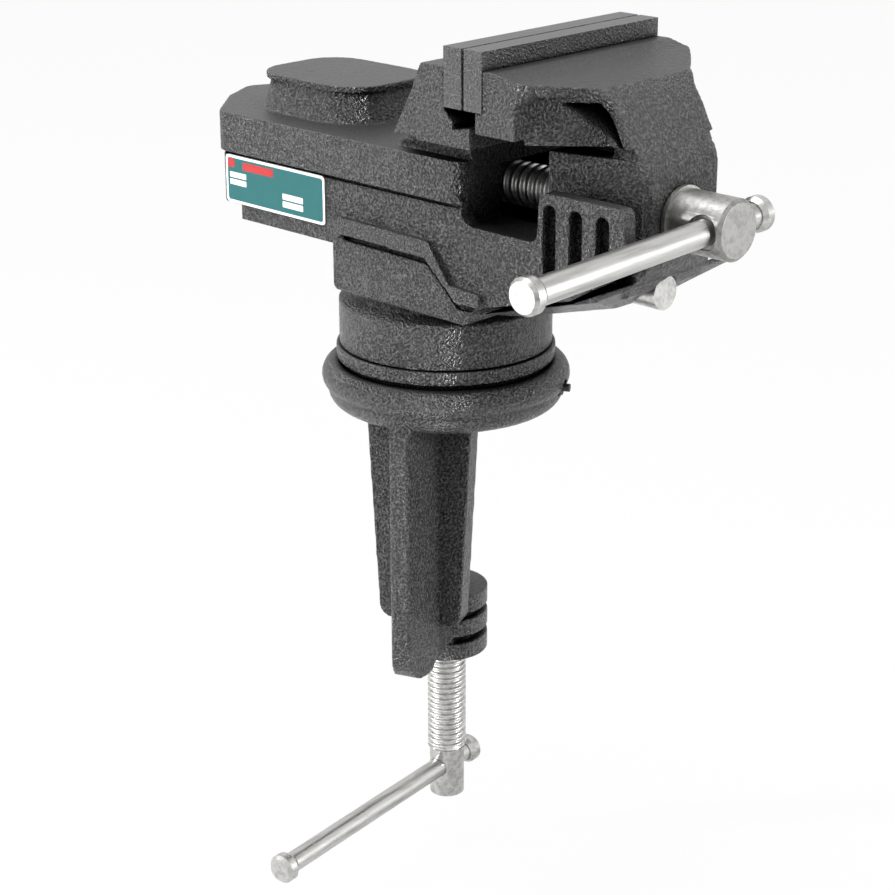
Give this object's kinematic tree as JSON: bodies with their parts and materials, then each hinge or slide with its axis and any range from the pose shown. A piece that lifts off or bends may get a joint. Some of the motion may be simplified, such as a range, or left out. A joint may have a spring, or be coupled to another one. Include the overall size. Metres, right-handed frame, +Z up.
{
  "type": "table vise",
  "caption": "Small cast iron swivel table vise with anvil, steel jaw plates, sliding-bar spindle and a screw clamp foot.",
  "frame": {"origin": "on the swivel axis, at the ring face that rests on the bench top", "axes": "+X along the spindle towards its handle, +Y across the jaws, +Z up"},
  "size_m": [0.1579, 0.0986, 0.206],
  "materials": {
    "black_casting": "black paint over a rough sand-cast surface, satin",
    "jaw_plate": "dark oxide, cast, with ground edges",
    "zinc_steel": "bright zinc plate over turned steel",
    "black_steel": "black oxide steel"
  },
  "bodies": {
    "base": {"clamp_frame": "black_casting", "swivel_friction_ring": "black_steel", "swivel_lock_screw": "black_steel"},
    "head": {"body_casting": "black_casting", "fixed_jaw_plate": "jaw_plate", "fixed_jaw_screws": "black_steel", "spindle_nut": "zinc_steel", "spindle_nut_pin": "zinc_steel", "swivel_plate": "zinc_steel", "swivel_bolt": "black_steel"},
    "moving_jaw": {"moving_jaw_casting": "black_casting", "moving_jaw_plate": "jaw_plate", "moving_jaw_screws": "black_steel", "guide_rod": "zinc_steel", "guide_rod_pin": "zinc_steel"},
    "spindle": {"spindle": "zinc_steel", "spindle_washer": "zinc_steel", "spindle_retaining_ring": "zinc_steel"},
    "spindle_bar": {"spindle_bar": "zinc_steel", "spindle_bar_near_end": "zinc_steel", "spindle_bar_far_end": "zinc_steel"},
    "clamp_pad": {"clamp_pad": "zinc_steel"},
    "clamp_screw": {"clamp_screw": "zinc_steel", "clamp_pad_washer": "black_steel"},
    "clamp_bar": {"clamp_bar": "zinc_steel", "clamp_bar_near_end": "zinc_steel", "clamp_bar_far_end": "zinc_steel"}
  },
  "joints": [
    {"name": "head_swivel", "type": "hinge", "parent": "base", "child": "head", "pos_m": [0, 0, 0], "axis": [0, 0, 1], "continuous": true},
    {"name": "jaw_slide", "type": "slide", "parent": "head", "child": "moving_jaw", "axis": [1, 0, 0], "range_m": [0, 0.038]},
    {"name": "spindle_turn", "type": "hinge", "parent": "moving_jaw", "child": "spindle", "pos_m": [0, 0, 0.059], "axis": [1, 0, 0], "range_deg": [-5, 5480]},
    {"name": "spindle_bar_slide", "type": "slide", "parent": "spindle", "child": "spindle_bar", "axis": [0, 0.9995, 0.0314], "range_m": [-0.0035, 0.0525]},
    {"name": "clamp_pad_slide", "type": "slide", "parent": "base", "child": "clamp_pad", "axis": [0, 0, 1], "range_m": [-0.014, 0.026]},
    {"name": "clamp_screw_turn", "type": "hinge", "parent": "clamp_pad", "child": "clamp_screw", "pos_m": [0, 0, -0.06], "axis": [0, 0, 1], "range_deg": [-3365, 6245]},
    {"name": "clamp_bar_slide", "type": "slide", "parent": "clamp_screw", "child": "clamp_bar", "axis": [-0.1253, 0.9921, 0], "range_m": [-0.002, 0.0585]}
  ],
  "couplings": [
    {"joint": "spindle_turn", "follows": "jaw_slide", "rad_per_m": 2513.3},
    {"joint": "clamp_screw_turn", "follows": "clamp_pad_slide", "rad_per_m": 4188.8}
  ]
}
